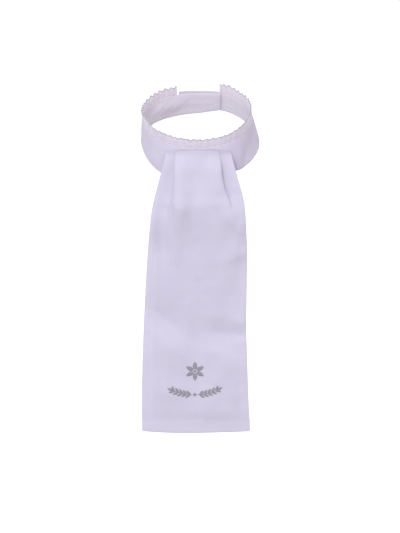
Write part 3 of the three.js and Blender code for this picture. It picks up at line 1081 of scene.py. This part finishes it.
for first, last, outward in ((-166, -198.5, -1), (165, 194, 1)):
    for inset in BOX_HEIGHTS:
        stitch_band(first, last, outward, lambda angle: inset)
    for angle in (first, last):
        def upright_ray(share):
            return band_ray(angle, mix(*BOX_HEIGHTS, share), outward)

        stitch_row(band_bm, band_surface, upright_ray, BOX_HEIGHTS[1] - BOX_HEIGHTS[0])

band_stitches = finished_piece("band_stitches", band_bm, [sewing_thread])
print("band stitches:", len(band_stitches.data.polygons), "faces")


# %% [markdown]
# The ruffle's overlocked edge
# The free edge of the ruffle is overlocked: loop after loop of thread is thrown over it, a
# little aslant, so it looks rough and slightly grey. Each loop is one bead that wraps the
# edge, thicker than the cloth.

# %% The overlocked edge
OVERLOCK_LOOPS = 440
ASLANT = 0.0008  # how far along the ruffle a loop's root is from its tip, as a share

edge_bm = bmesh.new()
for loop in range(OVERLOCK_LOOPS):
    across = (loop + 0.5) / OVERLOCK_LOOPS
    tip = ruffle_spot(across, 1.0)
    root = ruffle_spot(across + ASLANT, 0.84)
    ahead = ruffle_spot(across + ASLANT / 2, 1.0) - ruffle_spot(across - ASLANT / 2, 1.0)
    facing = ahead.cross(tip - root).normalized()
    tip = tip + (tip - root) * mix(0.04, 0.2, loop % 3 / 2)  # some stand out further
    add_bead(
        edge_bm, COLLAR_TILT @ root * MM, COLLAR_TILT @ tip * MM, COLLAR_TILT @ facing,
        0.72 * MM, 1.0 * MM)

ruffle_edge = finished_piece("ruffle_overlock", edge_bm, [overlock_thread])
print("overlock loops:", OVERLOCK_LOOPS)


# %% [markdown]
# Stitches of the tail
# One row holds the tail's top edge to the band. Others hold the turned sides and the hem,
# and show on the front and on the back.

# %% Stitches of the tail
FORWARD = Vector((0, -1, 0))
TOP_INSET = 3.2  # from the tail's top edge to its row of stitches
SEAM_INSET = 5.6  # from its side to the row there
SEAM_TOP = -34
SEAM_BOTTOM = -298

tail_surface = surface_of(tail)
tail_bm = bmesh.new()


def tail_ray(across, height, face):
    """A ray at the tail's front (face -1) or back (face 1)."""
    start = -0.14 if face < 0 else -0.03
    return Vector((across * MM, start, height * MM)), FORWARD * face


def top_seam_ray(share):
    across = mix(-31, 31, share)
    return tail_ray(across, TAIL_TOP - TOP_INSET - SIDES_FALL * (across / 33.4) ** 2, -1)


stitch_row(tail_bm, tail_surface, top_seam_ray, 62)
for face in (-1, 1):
    def hem_ray(share):
        across = mix(-58, 52.6, share)
        rise = 1.3 * (across / 55) ** 2  # the hem curves up to its corners
        return tail_ray(across, TAIL_BOTTOM + HEM_DEPTH - 1 + rise, face)

    stitch_row(tail_bm, tail_surface, hem_ray, 110)
    for side, inward in (("left", SEAM_INSET), ("right", -SEAM_INSET)):
        def seam_ray(share):
            height = mix(SEAM_TOP, SEAM_BOTTOM, share)
            return tail_ray(TAIL.at(side, height) + inward, height, face)

        stitch_row(tail_bm, tail_surface, seam_ray, SEAM_TOP - SEAM_BOTTOM)

tail_stitches = finished_piece("tail_stitches", tail_bm, [sewing_thread])
print("tail stitches:", len(tail_stitches.data.polygons), "faces")


# %% [markdown]
# The ornament
# Near the hem the tail carries a plain embroidered ornament: a flower of six petals over
# two leafy sprigs that spread like a garland, in padded satin stitch. A picture on the
# cloth would lie flat, so each petal or leaf is a flattened sphere, laid on the cloth point
# by point. Its UV runs along it in metres, so that the satin threads can cross it.

# %% The ornament
FLOWER_X = -3.7
FLOWER_Z = -242.0
GARLAND_Z = -268.0

ornament_bm = bmesh.new()
ornament_bm.loops.layers.uv.new("cloth")


def leaf(x, height, turn, length, width):
    """A padded satin leaf that starts at a place on the tail and points along turn."""
    cloth = ornament_bm.loops.layers.uv["cloth"]
    made = bmesh.ops.create_uvsphere(ornament_bm, u_segments=10, v_segments=8, radius=0.5)
    flat = {}
    for vert in made["verts"]:
        along = (vert.co.z + 0.5) * length
        aside = vert.co.x * width * (1.15 - 0.5 * (vert.co.z + 0.5))
        flat[vert] = (along * MM, aside * MM)
        padding = 0.12 + 0.8 * vert.co.y
        across = x + along * math.cos(turn) - aside * math.sin(turn)
        level = height + along * math.sin(turn) + aside * math.cos(turn)
        spot, facing = lie_on(tail_surface, *tail_ray(across, level, -1))
        vert.co = spot + facing * padding * MM
    for face in {face for vert in flat for face in vert.link_faces}:
        for loop in face.loops:
            loop[cloth].uv = flat[loop.vert]


for petal in range(6):
    turn = math.radians(30 + 60 * petal)
    leaf(FLOWER_X + 2.2 * math.cos(turn), FLOWER_Z + 2.2 * math.sin(turn), turn, 8.2, 5.0)
leaf(FLOWER_X - 1.6, FLOWER_Z, 0, 3.2, 3.2)


def sprig_place(side, share):
    """A sprig's stem lifts away from the middle, as one side of a garland."""
    return FLOWER_X + side * mix(3, 24, share), GARLAND_Z + 6.5 * share ** 1.6


for side in (-1, 1):
    for step in range(10):
        x, height = sprig_place(side, step / 10)
        next_x, next_height = sprig_place(side, (step + 1) / 10)
        turn = math.atan2(next_height - height, next_x - x)
        leaf(x, height, turn, 2.8, 0.9)
        if step % 2:
            leaf(x, height, turn + 0.7, 5.8, 2.9)
            leaf(x, height, turn - 0.7, 5.8, 2.9)
    x, height = sprig_place(side, 1)
    leaf(x, height, 0.4 if side > 0 else 2.74, 5.4, 2.8)
leaf(FLOWER_X - 1.9, GARLAND_Z, 0, 3.8, 3.8)

ornament = finished_piece("tail_ornament", ornament_bm, [silver_silk])
print("ornament:", len(ornament.data.polygons), "faces")


# %% [markdown]
# Floor and light
# The tie was photographed before plain white in soft light. A floor of pale card and a
# white surrounding light give that. One large lamp, high up and a little to the left,
# makes the folds readable, and a weak warm one from the right fills their far sides. A
# small bright lamp would show them too, but with hard shadows that the picture hasn't.

# %% Floor and light
FLOOR_HEIGHT = -0.9

floor_bm = bmesh.new()
bmesh.ops.create_grid(floor_bm, x_segments=2, y_segments=2, size=12)
bmesh.ops.translate(floor_bm, verts=floor_bm.verts, vec=(0, 0, FLOOR_HEIGHT))
pale_card, card_tree, card_shader = new_material("pale_card")
fill(card_tree, card_shader, {
    "Base Color": (0.95, 0.95, 0.95, 1),
    "Roughness": 0.9,
    "Emission Color": (1, 1, 1, 1),
    "Emission Strength": 0.4,  # lit from below, as a light table
})
floor = finished_piece("floor", floor_bm, [pale_card])
floor.visible_diffuse = False  # so the glow stays out of the tie's shadows

world = bpy.data.worlds.new("studio")
world.use_nodes = True
surroundings = {"Color": (1.0, 0.975, 0.985, 1), "Strength": 0.72}
fill(world.node_tree, world.node_tree.nodes["Background"], surroundings)
bpy.context.scene.world = world
bpy.context.scene.view_settings.view_transform = "Standard"


def studio_lamp(name, place, aim, size, spread, watts, colour):
    lamp_data = bpy.data.lights.new(name, "AREA")
    lamp_data.size = size
    lamp_data.energy = watts
    lamp_data.color = colour
    lamp_data.spread = math.radians(spread)
    lamp = bpy.data.objects.new(name, lamp_data)
    lamp.location = place
    lamp.rotation_euler = (Vector(aim) - Vector(place)).to_track_quat("-Z", "Y").to_euler()
    bpy.context.scene.collection.objects.link(lamp)


studio_lamp("key_lamp", (-1.43, -3.98, 4.15), (0, -0.06, -0.17), 1.9, 70, 29.2, (0.895, 0.96, 1.0))
studio_lamp("fill_lamp", (3.2, -2.2, 2.2), (0, -0.06, -0.1), 1.5, 90, 2.4, (1.0, 0.88, 0.94))
print("floor at", FLOOR_HEIGHT)


# %% [markdown]
# What rides on what
# Nothing on a worn stock tie moves by a joint, so every piece rides on the one body. Four
# sheets take the places of the four solids, and the joined threads ride along with them.

for piece, node, slot in [
    (neck_band, "neck_band", "band_cotton"),
    (ruffle, "ruffle", "ruffle_cotton"),
    (tail, "tail", "tail_cotton"),
    (touch_fastener, "touch_fastener", "fastener_pile"),
]:
    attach(piece, "root")
    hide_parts(node)

for piece, slot in [
    (band_stitches, "band_cotton"),
    (ruffle_edge, "ruffle_cotton"),
    (tail_stitches, "tail_cotton"),
    (ornament, "tail_cotton"),
]:
    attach(piece, "root")
